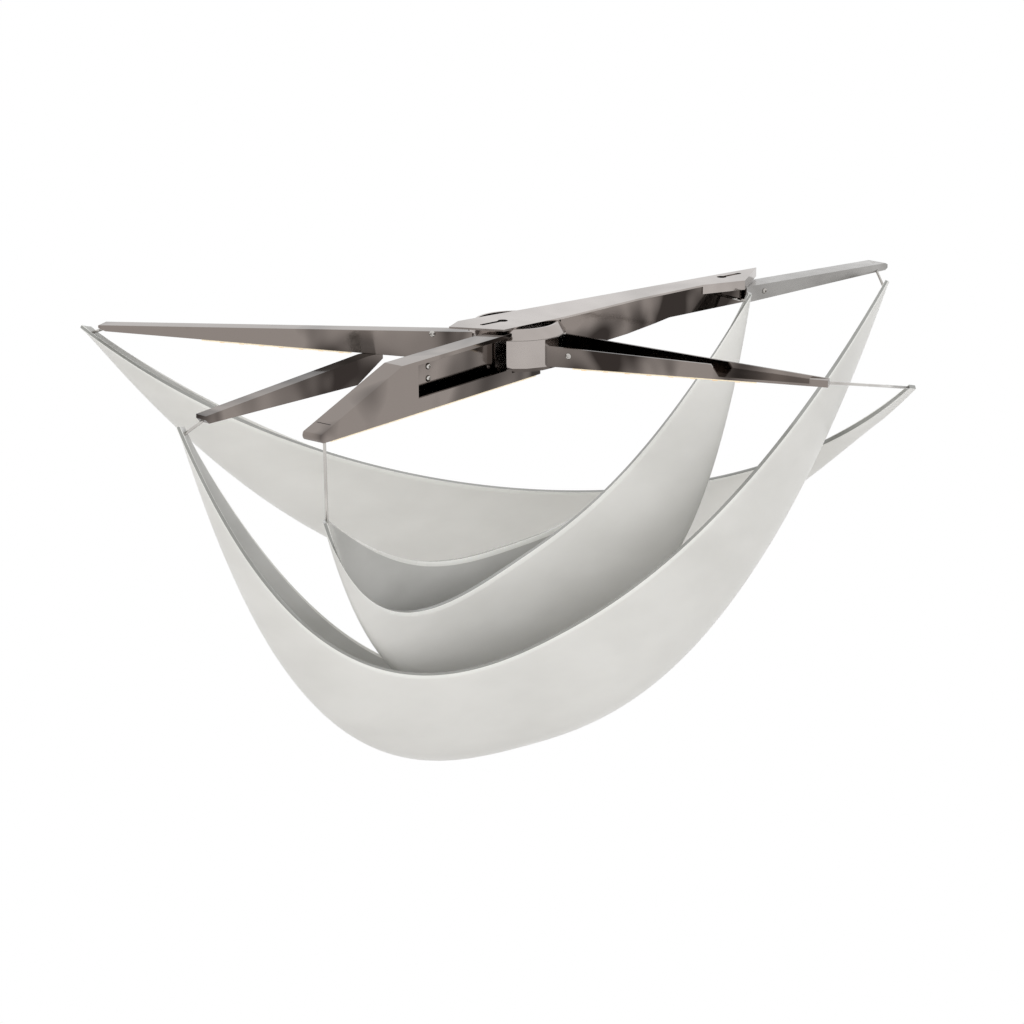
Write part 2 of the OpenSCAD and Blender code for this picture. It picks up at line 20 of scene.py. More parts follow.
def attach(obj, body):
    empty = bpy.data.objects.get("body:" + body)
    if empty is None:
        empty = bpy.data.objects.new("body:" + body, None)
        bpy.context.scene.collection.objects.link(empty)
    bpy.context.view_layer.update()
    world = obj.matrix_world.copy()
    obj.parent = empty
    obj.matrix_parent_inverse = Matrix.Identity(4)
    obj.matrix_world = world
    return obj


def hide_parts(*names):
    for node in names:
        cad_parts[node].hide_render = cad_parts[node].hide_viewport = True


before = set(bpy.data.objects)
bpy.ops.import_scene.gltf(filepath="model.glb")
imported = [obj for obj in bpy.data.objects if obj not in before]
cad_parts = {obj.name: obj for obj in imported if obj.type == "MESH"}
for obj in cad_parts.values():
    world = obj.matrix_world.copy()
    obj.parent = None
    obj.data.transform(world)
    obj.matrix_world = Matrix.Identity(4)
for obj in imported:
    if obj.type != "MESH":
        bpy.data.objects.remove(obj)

logging.basicConfig(level=logging.INFO, format="%(levelname)s %(name)s: %(message)s")
log = logging.getLogger("ceiling_light")

MM = 0.001
ROOT = "root"

# Angles in degrees past which an edge stays sharp, on folded sheet and on turned or bent pieces
SHEET_SHARP = 35.0
ROUND_SHARP = 40.0

# Sockets of the mix node that carry its two colours and its result
MIX_LOW = 6
MIX_HIGH = 7
MIX_RESULT = 2

Colour = tuple[float, float, float, float]
Point = tuple[float, float, float]


class Slot(str, Enum):
    """Material slots of the record, one for each kind of piece."""

    NICKEL = "nickel"
    GLASS = "glass"
    BOARD = "board"
    CHIPS = "chips"
    SCREWS = "screws"


class NodeGraph:
    """A small helper that adds nodes to a tree and links them."""

    def __init__(self, tree: bpy.types.NodeTree) -> None:
        """Starts with an empty tree.

        Args:
            tree: The node tree to fill.
        """
        self.tree = tree
        tree.nodes.clear()

    def add(self, kind: str, values: dict | None = None,
            **settings: object) -> bpy.types.Node:
        """Adds one node.

        Args:
            kind: The node's type name.
            values: Input sockets to set, by name or number.
            **settings: Attributes of the node to set.

        Returns:
            The new node.
        """
        node = self.tree.nodes.new(kind)
        for name, value in settings.items():
            setattr(node, name, value)
        for name, value in (values or {}).items():
            node.inputs[name].default_value = value
        return node

    def link(self, source: bpy.types.Node, out: str | int,
             target: bpy.types.Node, socket: str | int) -> None:
        """Links one node's output to another's input, each by name or number."""
        self.tree.links.new(source.outputs[out], target.inputs[socket])

    def noise(self, coords: bpy.types.Node, scale: float, detail: float = 3.0,
              stretch: Point = (1, 1, 1)) -> bpy.types.Node:
        """Adds a noise texture on object coordinates.

        Args:
            coords: A texture coordinate node.
            scale: Cells per metre.
            detail: Octaves of the noise.
            stretch: Factors along X, Y and Z.

        Returns:
            The noise node.
        """
        mapping = self.add("ShaderNodeMapping", {"Scale": stretch})
        self.link(coords, "Object", mapping, "Vector")
        node = self.add("ShaderNodeTexNoise", {"Scale": scale, "Detail": detail})
        self.link(mapping, 0, node, "Vector")
        return node

    def spread(self, noise: bpy.types.Node, low: float, high: float,
               start: float = 0.3, end: float = 0.7) -> bpy.types.Node:
        """Maps a noise's value from start and end to low and high.

        Args:
            noise: The noise node.
            low: The result at start.
            high: The result at end.
            start: The value that gives low.
            end: The value that gives high.

        Returns:
            The map range node, whose result is output 0.
        """
        node = self.add("ShaderNodeMapRange",
                        {"From Min": start, "From Max": end, "To Min": low, "To Max": high})
        self.link(noise, "Fac", node, "Value")
        return node

    def mix(self, share: bpy.types.Node, low: Colour, high: Colour) -> bpy.types.Node:
        """Mixes two colours by another node's value.

        Args:
            share: The node that gives the share of the second colour.
            low: The colour at 0.
            high: The colour at 1.

        Returns:
            The mix node, whose colour is output MIX_RESULT.
        """
        node = self.add("ShaderNodeMix", {MIX_LOW: low, MIX_HIGH: high}, data_type="RGBA")
        self.link(share, 0, node, 0)
        return node

    def bump(self, noise: bpy.types.Node, strength: float, depth: float) -> bpy.types.Node:
        """Adds a bump of the surface.

        Args:
            noise: The noise node that gives the height.
            strength: How strongly it bends the light.
            depth: The height of a full step, in metres.

        Returns:
            The bump node, whose normal is output 0.
        """
        node = self.add("ShaderNodeBump", {"Strength": strength, "Distance": depth})
        self.link(noise, "Fac", node, "Height")
        return node

    def surface(self, shader: bpy.types.Node) -> None:
        """Gives a shader out as the material's surface."""
        output = self.add("ShaderNodeOutputMaterial")
        self.link(shader, 0, output, "Surface")


def new_material(name: str) -> tuple[bpy.types.Material, NodeGraph, bpy.types.Node]:
    """Makes a node material that holds only its coordinates.

    Args:
        name: The material's name.

    Returns:
        The material, the graph that fills it, and its coordinate node.
    """
    material = bpy.data.materials.new(name)
    material.use_nodes = True
    graph = NodeGraph(material.node_tree)
    return material, graph, graph.add("ShaderNodeTexCoord")


@dataclass(frozen=True)
class MetalFinish:
    """Polished plated sheet: soft waves in the polish, faint smears, and painted reflection patches
    where a noise swings the base colour between the tint and the shade.

    Scales are in cells per metre, and depths are in metres.
    """

    name: str
    tint: Colour
    shade: Colour
    rough_low: float
    rough_high: float
    wave_depth: float = 0.0006
    wave_scale: float = 14.0
    # Size, bounds and swirl of the painted reflection patches in the base colour
    reflection_patch_scale: float = 9.0
    reflection_patch_start: float = 0.3
    reflection_patch_end: float = 0.7
    reflection_patch_swirl: float = 1.2
    smear_scale: float = 60.0
    smear_stretch: Point = (1.0, 1.0, 3.0)
    grain_scale: float = 900.0
    grain_depth: float = 0.0001
    grain_strength: float = 0.06
    index: float = 1.9
    coat: float = 0.08
    coat_rough: float = 0.05

    def build(self) -> bpy.types.Material:
        """Makes the material.

        Returns:
            The finished material.
        """
        material, g, coords = new_material(self.name)
        # Painted reflections: broad noise patches swing the base colour between tint and shade,
        # standing in for light and dark surroundings mirrored in the metal
        reflection_patches = g.noise(coords, self.reflection_patch_scale, detail=2.0)
        reflection_patches.inputs["Distortion"].default_value = self.reflection_patch_swirl
        share = g.spread(reflection_patches, 0.0, 1.0, self.reflection_patch_start, self.reflection_patch_end)
        tint = g.mix(share, self.tint, self.shade)
        smear = g.noise(coords, self.smear_scale, detail=5.0, stretch=self.smear_stretch)
        rough = g.spread(smear, self.rough_low, self.rough_high)
        waves = g.bump(g.noise(coords, self.wave_scale, detail=1.0), 1.0, self.wave_depth)
        grain = g.bump(g.noise(coords, self.grain_scale, detail=2.0),
                       self.grain_strength, self.grain_depth)
        shader = g.add("ShaderNodeBsdfPrincipled", {
            "Metallic": 1.0, "IOR": self.index,
            "Coat Weight": self.coat, "Coat Roughness": self.coat_rough,
        })
        g.link(tint, MIX_RESULT, shader, "Base Color")
        g.link(rough, 0, shader, "Roughness")
        g.link(waves, 0, grain, "Normal")
        g.link(grain, 0, shader, "Normal")
        g.surface(shader)
        return material


@dataclass(frozen=True)
class GlassFinish:
    """White satin glass: milky, a little translucent, with faint clouds.

    Scales are in cells per metre, and depths are in metres.
    """

    name: str
    tint: Colour
    cloud: Colour
    rough_low: float
    rough_high: float
    coat: float
    coat_rough: float
    scatter: float
    cloud_scale: float = 11.0
    cloud_stretch: Point = (1.0, 1.0, 1.8)
    cloud_start: float = 0.35
    cloud_end: float = 0.75
    polish_scale: float = 35.0
    ripple_scale: float = 55.0
    ripple_depth: float = 0.0004
    ripple_strength: float = 0.25
    index: float = 1.5
    scatter_depth: float = 0.012
    scatter_tint: Point = (1.0, 1.0, 0.95)

    def build(self) -> bpy.types.Material:
        """Makes the material.

        Returns:
            The finished material.
        """
        material, g, coords = new_material(self.name)
        clouds = g.noise(coords, self.cloud_scale, detail=4.0, stretch=self.cloud_stretch)
        share = g.spread(clouds, 0.0, 1.0, self.cloud_start, self.cloud_end)
        tint = g.mix(share, self.tint, self.cloud)
        rough = g.spread(g.noise(coords, self.polish_scale), self.rough_low, self.rough_high)
        ripple = g.bump(g.noise(coords, self.ripple_scale, detail=2.0),
                        self.ripple_strength, self.ripple_depth)
        shader = g.add("ShaderNodeBsdfPrincipled", {
            "IOR": self.index, "Coat Weight": self.coat, "Coat Roughness": self.coat_rough,
            "Subsurface Weight": self.scatter, "Subsurface Scale": self.scatter_depth,
            "Subsurface Radius": self.scatter_tint,
        })
        g.link(tint, MIX_RESULT, shader, "Base Color")
        g.link(rough, 0, shader, "Roughness")
        g.link(ripple, 0, shader, "Normal")
        g.surface(shader)
        return material


@dataclass(frozen=True)
class LitFinish:
    """A glowing part of a light strip, with a grain so that it isn't one flat colour; the chips are the
    lamps, and the board's glow is painted light.
    """

    name: str
    tint: Colour
    glow: Colour
    strength: float
    grain_scale: float = 300.0
    grain_lift: float = 1.15
    rough: float = 0.35

    def build(self) -> bpy.types.Material:
        """Makes the material.

        Returns:
            The finished material.
        """
        material, g, coords = new_material(self.name)
        share = g.spread(g.noise(coords, self.grain_scale, detail=2.0), 0.0, 1.0)
        lifted = tuple(min(1.0, self.grain_lift * part) for part in self.tint[:3]) + (1.0,)
        tint = g.mix(share, self.tint, lifted)
        glow = g.mix(share, self.glow, lifted)
        shader = g.add("ShaderNodeBsdfPrincipled",
                       {"Roughness": self.rough, "Emission Strength": self.strength})
        g.link(tint, MIX_RESULT, shader, "Base Color")
        g.link(glow, MIX_RESULT, shader, "Emission Color")
        g.surface(shader)
        return material


# One nickel in two painted copies: the pale copy takes the look of lit faces, and the dark copy is
# painted dark reflections with strong painted reflection patches
NICKEL_PAINTED_DARK = MetalFinish(
    "nickel_painted_dark", tint=(0.26, 0.225, 0.205, 1), shade=(0.032, 0.025, 0.022, 1),
    rough_low=0.05, rough_high=0.11, wave_depth=0.001, wave_scale=11.0,
    reflection_patch_scale=7.0, reflection_patch_start=0.43, reflection_patch_end=0.62)
NICKEL_PAINTED_PALE = MetalFinish(
    "nickel_painted_pale", tint=(0.52, 0.475, 0.45, 1), shade=(0.36, 0.325, 0.305, 1),
    rough_low=0.10, rough_high=0.18)
SILVER = MetalFinish(
    "silver", tint=(0.46, 0.45, 0.435, 1), shade=(0.28, 0.27, 0.26, 1),
    rough_low=0.22, rough_high=0.32, wave_depth=0.0003)
SCREW_METAL = MetalFinish(
    "screw_metal", tint=(0.62, 0.60, 0.57, 1), shade=(0.40, 0.38, 0.36, 1),
    rough_low=0.12, rough_high=0.2, wave_depth=0.0001)
GLASS_OUTER = GlassFinish(
    "glass_outer", tint=(0.80, 0.795, 0.77, 1), cloud=(0.73, 0.725, 0.70, 1),
    rough_low=0.34, rough_high=0.46, coat=0.25, coat_rough=0.3, scatter=0.25)
# The inner glass is the outer glass in a darker copy, painted shade inside the trough; its glossier
# polish is its own
GLASS_INNER_SHADED = GlassFinish(
    "glass_inner_shaded", tint=(0.60, 0.60, 0.585, 1), cloud=(0.50, 0.50, 0.485, 1),
    rough_low=0.16, rough_high=0.26, coat=0.5, coat_rough=0.12, scatter=0.1)
GLASS_EDGE = GlassFinish(
    "glass_edge", tint=(0.34, 0.345, 0.33, 1), cloud=(0.26, 0.265, 0.25, 1),
    rough_low=0.12, rough_high=0.2, coat=0.6, coat_rough=0.08, scatter=0.0)
# Painted highlight: a lighter glass on the narrow bevels along each rim
GLASS_PAINTED_HIGHLIGHT = GlassFinish(
    "glass_painted_highlight", tint=(0.86, 0.86, 0.83, 1), cloud=(0.8, 0.8, 0.77, 1),
    rough_low=0.2, rough_high=0.3, coat=0.4, coat_rough=0.1, scatter=0.2)
# Painted light: the board is no lamp, and its glow stands in for the chips' light falling on it
BOARD_PAINTED_GLOW = LitFinish("board_painted_glow", tint=(0.55, 0.48, 0.36, 1), glow=(1.0, 0.86, 0.58, 1), strength=0.62)
CHIP_LIT = LitFinish("chip_lit", tint=(0.5, 0.3, 0.1, 1), glow=(1.0, 0.58, 0.2, 1), strength=0.85)


Finish = MetalFinish | GlassFinish | LitFinish


class Materials:
    """Builds each finish once and hands it out."""

    def __init__(self) -> None:
        """Starts with nothing built."""
        self._built: dict[str, bpy.types.Material] = {}

    def get(self, finish: Finish) -> bpy.types.Material:
        """Gives a finish's material.

        Args:
            finish: The finish wanted.

        Returns:
            Its material, the same one each time.
        """
        if finish.name not in self._built:
            self._built[finish.name] = finish.build()
        return self._built[finish.name]


MATERIALS = Materials()


def put_in_scene(obj: bpy.types.Object) -> None:
    """Links a new object to the scene."""
    bpy.context.scene.collection.objects.link(obj)


def link_piece(obj: bpy.types.Object, slot: Slot, *nodes: str) -> None:
    """Puts a finished piece into the scene on the part's one body.

    Args:
        obj: The piece, in place.
        slot: The record's slot for the piece; not used.
        *nodes: The CAD nodes that it stands for.
    """
    put_in_scene(obj)
    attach(obj, ROOT)
    if nodes:
        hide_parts(*nodes)
    log.info("piece %s: %d faces", obj.name, len(obj.data.polygons))


def mesh_object(name: str, mesh: bpy.types.Mesh, *finishes: Finish) -> bpy.types.Object:
    """Wraps a mesh in an object with its materials.

    Args:
        name: The piece's name.
        mesh: Its mesh.
        *finishes: Its finishes, in the order of the material indices.

    Returns:
        The new object, not yet linked.
    """
    for finish in finishes:
        mesh.materials.append(MATERIALS.get(finish))
    return bpy.data.objects.new(name, mesh)


class RowTree(NodeGraph):
    """A node group that sets copies of a shape in their places, with named inputs for its sizes."""

    def __init__(self, name: str, inputs: dict[str, str]) -> None:
        """Starts the group with its inputs and its one output.

        Args:
            name: The group's name.
            inputs: The kind of socket for each input's name.
        """
        tree = bpy.data.node_groups.new(name, "GeometryNodeTree")
        super().__init__(tree)
        tree.interface.new_socket("Geometry", in_out="OUTPUT", socket_type="NodeSocketGeometry")
        self.keys: dict[str, str] = {}
        for label, kind in inputs.items():
            socket = tree.interface.new_socket(label, in_out="INPUT", socket_type=kind)
            self.keys[label] = socket.identifier
        self.given = self.add("NodeGroupInput")

    def feed(self, label: str, node: bpy.types.Node, socket: str) -> None:
        """Feeds a node's socket from the group's input of that label."""
        self.link(self.given, label, node, socket)

    def close(self, copies: bpy.types.Node, finish: Finish) -> None:
        """Makes the copies real, paints them and gives them out.

        Args:
            copies: The node that gives the copies.
            finish: Their finish.
        """
        real = self.add("GeometryNodeRealizeInstances")
        paint = self.add("GeometryNodeSetMaterial", {"Material": MATERIALS.get(finish)})
        out = self.add("NodeGroupOutput")
        self.link(copies, 0, real, 0)
        self.link(real, 0, paint, "Geometry")
        self.link(paint, 0, out, 0)

    def run(self, name: str, values: dict, start: bpy.types.Mesh | None = None) -> bpy.types.Mesh:
        """Runs the group once, and drops the empty slot that its unpainted shapes bring.

        Args:
            name: The new mesh's name.
            values: The value of each input, by its name.
            start: The mesh that the group starts from, if it needs one.

        Returns:
            The copies as one plain mesh.
        """
        carrier = bpy.data.objects.new("carrier", start or bpy.data.meshes.new("carrier"))
        put_in_scene(carrier)
        modifier = carrier.modifiers.new("row", "NODES")
        modifier.node_group = self.tree
        for label, value in values.items():
            modifier[self.keys[label]] = value
        graph = bpy.context.evaluated_depsgraph_get()
        mesh = bpy.data.meshes.new_from_object(carrier.evaluated_get(graph), depsgraph=graph)
        mesh.name = name
        if mesh.materials[0] is None:
            mesh.materials.pop(index=0)
        bpy.data.objects.remove(carrier)
        return mesh


def smooth_by_angle(bm: bmesh.types.BMesh, limit: float) -> None:
    """Shades faces smooth and keeps edges past the limit sharp.

    Args:
        bm: The mesh to shade.
        limit: The angle in degrees past which an edge stays sharp.
    """
    for face in bm.faces:
        face.smooth = True
    for edge in bm.edges:
        edge.smooth = len(edge.link_faces) == 2 and edge.calc_face_angle(0.0) < math.radians(limit)


def new_mesh(name: str, bm: bmesh.types.BMesh) -> bpy.types.Mesh:
    """Writes an edited mesh into a new one and frees it.

    Args:
        name: The new mesh's name.
        bm: The edited mesh.

    Returns:
        The new mesh.
    """
    mesh = bpy.data.meshes.new(name)
    bm.to_mesh(mesh)
    bm.free()
    return mesh


def turned(profile: Sequence[tuple[float, float]], sides: int,
           shape: Callable[[int, float], float] | None = None) -> bmesh.types.BMesh:
    """Turns a profile of radius and height about Z.

    Args:
        profile: Rings from one end to the other, as radius and height.
        sides: Points round each ring.
        shape: Gives a factor on the radius for a ring's number and an angle, or None.

    Returns:
        A closed mesh.
    """
    bm = bmesh.new()
    rings = []
    for i, (radius, height) in enumerate(profile):
        ring = []
        for j in range(sides):
            angle = 2 * math.pi * j / sides
            r = radius * (shape(i, angle) if shape else 1.0)
            ring.append(bm.verts.new((r * math.cos(angle), r * math.sin(angle), height)))
        rings.append(ring)
    for low, high in zip(rings, rings[1:]):
        for j in range(sides):
            k = (j + 1) % sides
            bm.faces.new((low[j], low[k], high[k], high[j]))
    bm.faces.new(list(reversed(rings[0])))
    bm.faces.new(rings[-1])
    bmesh.ops.recalc_face_normals(bm, faces=bm.faces)
    return bm


def joined(name: str, parts: Sequence[tuple[bmesh.types.BMesh, Vector, Vector]]) -> bpy.types.Mesh:
    """Stands turned parts in their places and joins them to one mesh.

    Args:
        name: The mesh's name.
        parts: Each part with the place of its foot and the direction that its top faces.

    Returns:
        The mesh of all parts.
    """
    whole = bmesh.new()
    for bm, foot, way in parts:
        spin = way.to_track_quat("Z", "Y").to_matrix().to_4x4()
        bmesh.ops.transform(bm, matrix=Matrix.Translation(foot) @ spin, verts=bm.verts)
        part = new_mesh("part", bm)
        whole.from_mesh(part)
        bpy.data.meshes.remove(part)
    smooth_by_angle(whole, ROUND_SHARP)
    return new_mesh(name, whole)


@dataclass(frozen=True)
class Arm:
    """Where an arm points and how a place along it maps to the part's frame."""

    turn: float
    underside: float = -0.040

    def at(self, along: float, across: float, up: float) -> Vector:
        """Maps a place on the arm to the part's frame.

        Args:
            along: Distance from the hub axis, in metres.
            across: Distance to the left of the arm's own axis.
            up: Height above the arms' underside.

        Returns:
            The point.
        """
        a = math.radians(self.turn)
        return Vector((along * math.cos(a) - across * math.sin(a),
                       along * math.sin(a) + across * math.cos(a),
                       self.underside + up))

    def side(self) -> Vector:
        """Gives the unit vector to the arm's left side."""
        a = math.radians(self.turn)
        return Vector((-math.sin(a), math.cos(a), 0.0))

    def matrix(self) -> Matrix:
        """Gives the matrix from the arm's own frame to the part's."""
        turn = Matrix.Rotation(math.radians(self.turn), 4, "Z")
        return Matrix.Translation((0, 0, self.underside)) @ turn


LEFT_ARM = Arm(119.8)
RIGHT_ARM = Arm(-58.3)
FRONT_ARM = Arm(190.7)
REAR_ARM = Arm(3.1)


@dataclass(frozen=True)
class SheetWork:
    """The folded sheet parts: each CAD node's own shape, with its folds and cut edges softened.

    Lengths are in metres, and angles are in degrees.
    """

    # Each part takes the pale or the dark painted copy of the nickel by how lit it looked; the window
    # plate's dark copy is painted shade in its recess
    finishes: dict[str, MetalFinish] = field(default_factory=lambda: {
        "ceiling_plate": NICKEL_PAINTED_PALE,
        "spine_channel": NICKEL_PAINTED_DARK,
        "hub_housing": NICKEL_PAINTED_PALE,
        "hub_cap": NICKEL_PAINTED_PALE,
        "hub_cover": NICKEL_PAINTED_DARK,
        "arm_left": NICKEL_PAINTED_DARK,
        "arm_right": NICKEL_PAINTED_DARK,
        "arm_front": NICKEL_PAINTED_DARK,
        "window_plate": NICKEL_PAINTED_DARK,
        "arm_rear": SILVER,
        "arm_side": NICKEL_PAINTED_DARK,
    })
    fold: float = 0.5 * MM
    same_point: float = 1e-6
    flat_within: float = 0.6
    fold_past: float = 20.0

    def soften(self, node: str, finish: MetalFinish) -> None:
        """Makes one sheet part from its CAD node, with rounded folds.

        Args:
            node: The CAD node's name.
            finish: Its metal.
        """
        bm = bmesh.new()
        bm.from_mesh(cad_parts[node].data)
        bmesh.ops.remove_doubles(bm, verts=bm.verts, dist=self.same_point)
        bmesh.ops.dissolve_limit(bm, angle_limit=math.radians(self.flat_within),
                                 verts=bm.verts, edges=bm.edges)
        sharp = [edge for edge in bm.edges if len(edge.link_faces) == 2
                 and edge.calc_face_angle(0.0) > math.radians(self.fold_past)]
        bmesh.ops.bevel(bm, geom=sharp, offset=self.fold, segments=2, profile=0.5,
                        affect="EDGES", clamp_overlap=True)
        bmesh.ops.remove_doubles(bm, verts=bm.verts, dist=self.same_point)
        smooth_by_angle(bm, SHEET_SHARP)
        name = f"{node}_sheet"
        piece = mesh_object(name, new_mesh(name, bm), finish)
        modifier = piece.modifiers.new("even_shading", "WEIGHTED_NORMAL")
        modifier.keep_sharp = True
        link_piece(piece, Slot.NICKEL, node)

    def build(self) -> None:
        """Makes every sheet part."""
        for node, finish in self.finishes.items():
            self.soften(node, finish)
        log.info("sheet parts: %d", len(self.finishes))


class Side(int, Enum):
    """Sides of a trough's glass, in the order of its materials."""

    OUTER = 0
    INNER = 1
    EDGE = 2
    # The rim bevels carry a painted highlight
    PAINTED_HIGHLIGHT = 3


@dataclass(frozen=True)
class Trough:
    """One bent glass trough, by the same rule as the part's source; lengths in millimetres.

    The near rim, the keel and the far rim each swing out from the chord between the tips. A swing
    gains its lean toward the right tip and loses it toward the left one. A bow is fuller the
    longer it keeps its swing.
    """

    name: str
    node: str
    left: Point
    right: Point
    near: Point
    near_lean: Point
    keel: Point
    keel_lean: Point
    far: Point
    far_lean: Point
    rim_full: float
    keel_full: float
    tip_w: float = 13.0
    glass_t: float = 6.4
    tip_thin: float = 0.6
    steps_along: int = 220
    steps_across: int = 36
    even_share: float = 0.3
    bevel: float = 0.010
    bevel_turn: float = 0.2
    bevel_lift: float = 0.9
    edge_lift: float = 0.72

    @staticmethod
    def bow(t: np.ndarray, full: float) -> np.ndarray:
        """Gives the share of its full swing that a curve bows out at t, from 0 to 1."""
        return 1 - np.abs(2 * t - 1) ** full

    def point(self, t: np.ndarray, s: np.ndarray) -> np.ndarray:
        """Gives points on the middle of the glass.

        Args:
            t: Steps along the trough, from 0 to 1.
            s: Steps across it, from the near rim at 0 to the far rim at 1.

        Returns:
            The points, in millimetres.
        """
        t, s = np.broadcast_arrays(t, s)
        t = t[..., None]
        s = s[..., None]
        left, right, near, far = (
            np.array(v, float) for v in (self.left, self.right, self.near, self.far))
        chord = left + t * (right - left)
        side = (far - near) / np.linalg.norm(far - near) * self.tip_w / 2
        rim_bow = self.bow(t, self.rim_full)
        near_at, keel_at, far_at = (
            np.array(swing, float) + (2 * t - 1) * np.array(lean, float) for swing, lean in (
                (self.near, self.near_lean), (self.keel, self.keel_lean), (self.far, self.far_lean)))
        near_at = near_at * rim_bow - side * (1 - rim_bow)
        far_at = far_at * rim_bow + side * (1 - rim_bow)
        keel_at = keel_at * self.bow(t, self.keel_full)
        return (chord + 2 * (s - 0.5) * (s - 1) * near_at + 4 * s * (1 - s) * keel_at
                + 2 * s * (s - 0.5) * far_at)

    def normal(self, t: np.ndarray, s: np.ndarray) -> np.ndarray:
        """Gives unit normals of the glass, pointing into the trough.

        Args:
            t: Steps along the trough.
            s: Steps across it.

        Returns:
            The normals.
        """
        step = 0.002
        run = self.point(np.minimum(1, t + step), s) - self.point(np.maximum(0, t - step), s)
        rise = self.point(t, np.minimum(1, s + step)) - self.point(t, np.maximum(0, s - step))
        n = np.cross(run, rise)
        return n / np.linalg.norm(n, axis=-1, keepdims=True)

    def half_glass(self, t: np.ndarray) -> np.ndarray:
        """Gives half the glass's thickness at t, thinner toward the tips."""
        grow = np.minimum(1, 2 * self.bow(t, 2))
        return self.glass_t / 2 * (self.tip_thin + (1 - self.tip_thin) * grow)

    def section(self) -> tuple[np.ndarray, np.ndarray, list[Side]]:
        """Gives the closed section of the glass: its cut edges are flat between narrow bevels, which
        carry a painted highlight.

        Returns:
            Steps across, lifts as a share of half the thickness, and the side of each face.
        """
        count, bevel = self.steps_across, self.bevel
        turn = bevel * self.bevel_turn
        high, low = self.bevel_lift, self.edge_lift
        s = np.concatenate([
            np.linspace(bevel, 1 - bevel, count), [1.0 - turn, 1.0, 1.0, 1.0 - turn],
            np.linspace(1 - bevel, bevel, count), [turn, 0.0, 0.0, turn]])
        lift = np.concatenate([
            -np.ones(count), [-high, -low, low, high],
            np.ones(count), [high, low, -low, -high]])
        rim = [Side.PAINTED_HIGHLIGHT, Side.PAINTED_HIGHLIGHT, Side.EDGE, Side.PAINTED_HIGHLIGHT, Side.PAINTED_HIGHLIGHT]
        sides = [Side.OUTER] * (count - 1) + rim + [Side.INNER] * (count - 1) + rim
        return s, lift, sides

    def build(self) -> None:
        """Makes the trough as one closed mesh, with its steps closer together near the tips."""
        along = self.steps_along
        u = np.arange(along + 1) / along
        t = self.even_share * u + (1 - self.even_share) * (1 - np.cos(math.pi * u)) / 2
        s, lift, sides = self.section()
        row = len(s)
        grid_t, grid_s = np.meshgrid(t, s, indexing="ij")
        out = (lift[None, :] * self.half_glass(grid_t))[..., None]
        skin = self.point(grid_t, grid_s) + out * self.normal(grid_t, grid_s)
        faces = []
        for i in range(along):
            for j in range(row):
                k = (j + 1) % row
                faces.append((i * row + j, (i + 1) * row + j, (i + 1) * row + k, i * row + k))
        faces.append(tuple(range(row)))
        faces.append(tuple(along * row + j for j in reversed(range(row))))
        mesh = bpy.data.meshes.new(self.name)
        mesh.from_pydata((skin * MM).reshape(-1, 3).tolist(), [], faces)
        mesh.polygons.foreach_set("material_index", sides * along + [Side.EDGE, Side.EDGE])
        bm = bmesh.new()
        bm.from_mesh(mesh)
        bmesh.ops.recalc_face_normals(bm, faces=bm.faces)
        smooth_by_angle(bm, ROUND_SHARP)
        bm.to_mesh(mesh)
        bm.free()
        piece = mesh_object(self.name, mesh, GLASS_OUTER, GLASS_INNER_SHADED, GLASS_EDGE, GLASS_PAINTED_HIGHLIGHT)
        link_piece(piece, Slot.GLASS, self.node)


UPPER = Trough(
    "upper_trough", "glass_upper", left=(-254, 395, -40), right=(377, -197, -97),
    near=(112, 2, -170), near_lean=(163, 102, -25),
    keel=(196, 6, -282), keel_lean=(97, 63, 136),
    far=(220, 19, -200), far_lean=(75, 16, 53),
    rim_full=2.02, keel_full=2.00)
MIDDLE = Trough(
    "middle_trough", "glass_middle", left=(-288, -60, -138), right=(295, -38, -12),
    near=(-37, 14, -165), near_lean=(-19, -25, 32),
    keel=(13, 23, -284), keel_lean=(-46, -74, 3),
    far=(2, 62, -166), far_lean=(-47, -31, -41),
    rim_full=2.85, keel_full=3.40)
LOWER = Trough(
    "lower_trough", "glass_lower", left=(-341, 94, -70), right=(528, -28, -34),
    near=(-130, -135, -247), near_lean=(-30, -59, 130),
    keel=(-138, -89, -376), keel_lean=(-94, -102, 43),
    far=(4, -38, -297), far_lean=(-15, -23, 144),
    rim_full=2.24, keel_full=2.64)


@dataclass(frozen=True)
class ScrewSeat:
    """A screw's seat on the side of an arm, in millimetres.

    It lies along the arm from the hub axis, across it to the left of its axis, and up from the
    arms' underside.
    """

    arm: Arm
    along: float
    across: float
    up: float

    def place(self) -> tuple[Vector, Vector]:
        """Gives the head's place, and the direction away from the arm's axis that its crown faces."""
        way = self.arm.side() if self.across > 0 else -self.arm.side()
        return self.arm.at(self.along * MM, self.across * MM, self.up * MM), way


ARM_SEATS = [
    ScrewSeat(LEFT_ARM, along=76, across=36, up=26),
    ScrewSeat(RIGHT_ARM, along=62, across=-28.5, up=12),
    ScrewSeat(REAR_ARM, along=338, across=-36, up=20.5),
]
WINDOW_SEATS = [ScrewSeat(FRONT_ARM, along=150, across=10.3, up=up) for up in (22, 10)]


